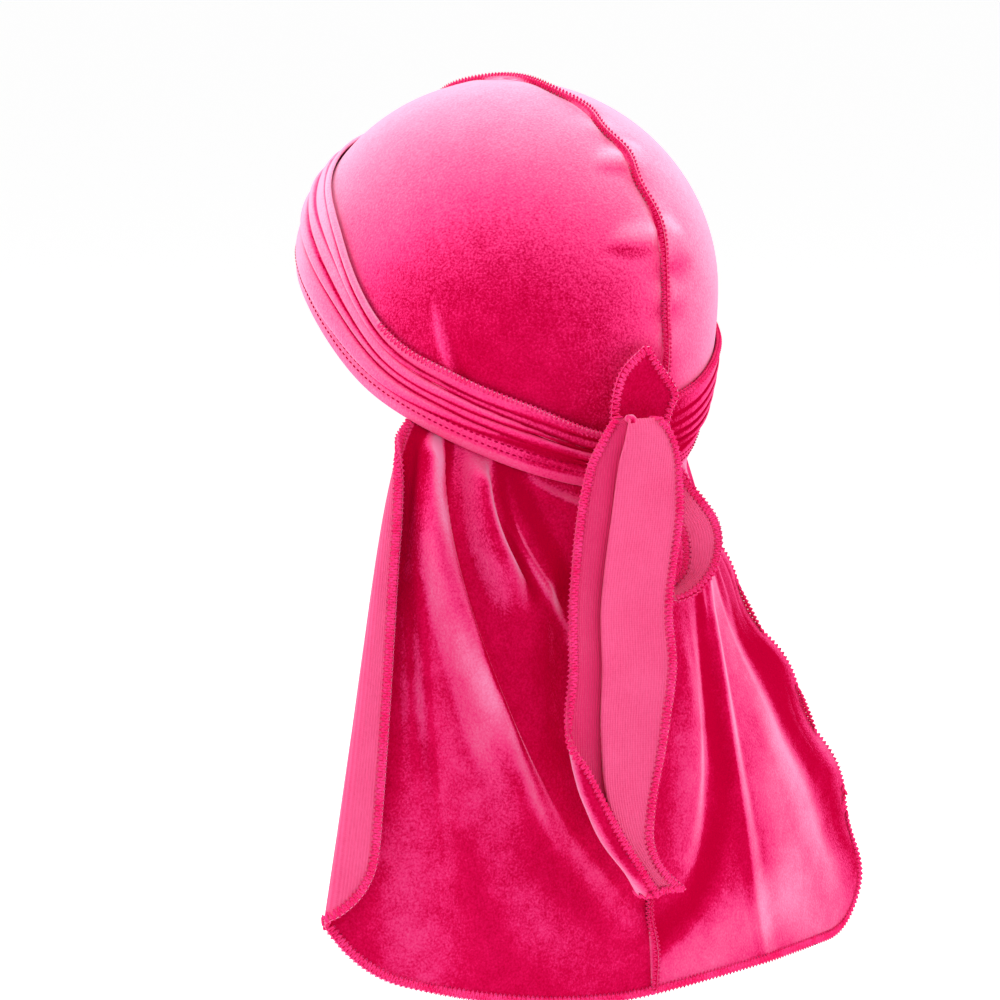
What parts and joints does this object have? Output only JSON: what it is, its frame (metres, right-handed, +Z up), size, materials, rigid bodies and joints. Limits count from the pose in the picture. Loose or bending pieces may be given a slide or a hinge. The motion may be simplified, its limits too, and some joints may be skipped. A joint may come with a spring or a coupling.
{
  "type": "durag",
  "caption": "Velvet durag tied on: rounded crown with a raised centre seam, pleated wrap, knot with hanging end and a long flared tail.",
  "frame": {"origin": "middle of the head hollow at its widest level", "axes": "+Z up, the wearer faces -Y, +X is the wearer's left, +Y is the back where the tail hangs"},
  "size_m": [0.3024, 0.2166, 0.3765],
  "materials": {
    "velvet": "short-pile stretch velvet with a pale sheen",
    "velvet_back": "matte knitted wrong side of the velvet",
    "seam_thread": "overlocked seam allowance and thread"
  },
  "bodies": {
    "root": {"left_panel": "velvet", "right_panel": "velvet", "crown_seam": "seam_thread", "tail_seam": "seam_thread", "head_wrap": "velvet", "knot": "velvet", "long_tie_end": "velvet_back", "short_tie_end": "velvet", "tie_loop": "velvet"}
  },
  "joints": []
}
